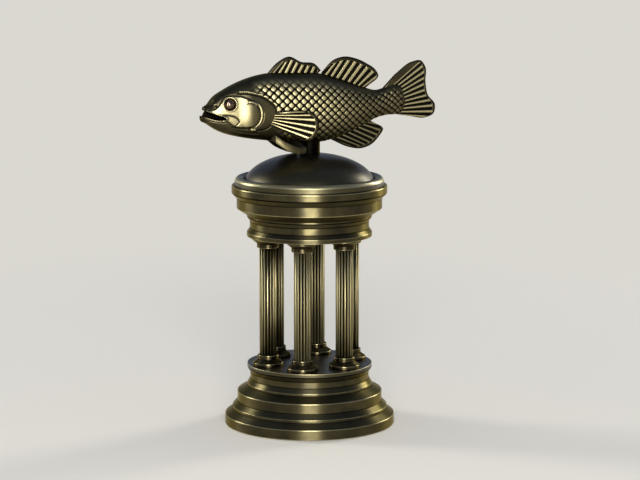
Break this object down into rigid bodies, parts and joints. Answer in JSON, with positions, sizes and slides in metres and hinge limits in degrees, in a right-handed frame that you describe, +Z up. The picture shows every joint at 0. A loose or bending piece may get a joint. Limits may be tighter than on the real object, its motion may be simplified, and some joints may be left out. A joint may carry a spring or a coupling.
{
  "type": "fishing trophy",
  "caption": "Brass trophy: a cast bass on a post over a domed rotunda of fluted columns and a stepped round base. Stands on a shelf as a display piece.",
  "frame": {"origin": "centre of the felt underside, on the axis of the colonnade", "axes": "+Z up along the axis of the base and columns; the fish lies along X with its nose to -X, and -Y is the side the picture shows"},
  "size_m": [0.1997, 0.136, 0.2956],
  "materials": {
    "brass_turned": "antique brass, turned and satin polished",
    "brass_column": "antique brass, fluted, dark in the hollows",
    "brass_fish": "antique brass casting, polished on high points and dark in the recesses",
    "brass_eye": "dark polished brass ball",
    "steel": "zinc plated steel",
    "felt": "dark green felt"
  },
  "bodies": {
    "root": {"felt_pad": "felt", "base_cover": "steel", "centre_bolt": "steel", "foot_ring": "brass_turned", "plinth_ring": "brass_turned", "neck_ring": "brass_turned", "stylobate": "brass_turned", "column_base_1": "brass_column", "column_base_2": "brass_column", "column_base_3": "brass_column", "column_base_4": "brass_column", "column_base_5": "brass_column", "column_base_6": "brass_column", "column_shaft_1": "brass_column", "column_shaft_2": "brass_column", "column_shaft_3": "brass_column", "column_shaft_4": "brass_column", "column_shaft_5": "brass_column", "column_shaft_6": "brass_column", "column_capital_1": "brass_column", "column_capital_2": "brass_column", "column_capital_3": "brass_column", "column_capital_4": "brass_column", "column_capital_5": "brass_column", "column_capital_6": "brass_column", "tie_bolt_1": "steel", "tie_bolt_2": "steel", "tie_bolt_3": "steel", "tie_bolt_4": "steel", "tie_bolt_5": "steel", "tie_bolt_6": "steel", "tie_nut_1": "steel", "tie_nut_2": "steel", "tie_nut_3": "steel", "tie_nut_4": "steel", "tie_nut_5": "steel", "tie_nut_6": "steel", "architrave": "brass_turned", "frieze_ring": "brass_turned", "cornice_ring": "brass_turned", "bead_ring": "brass_turned", "dome": "brass_turned", "fish_post": "brass_turned", "fish_stud": "steel", "fish_body": "brass_fish", "eye_left": "brass_eye", "eye_right": "brass_eye", "dorsal_fin_front": "brass_fish", "dorsal_fin_rear": "brass_fish", "tail_fin": "brass_fish", "anal_fin": "brass_fish", "pectoral_fin_left": "brass_fish", "pectoral_fin_right": "brass_fish", "pelvic_fin_left": "brass_fish", "pelvic_fin_right": "brass_fish"}
  },
  "joints": []
}
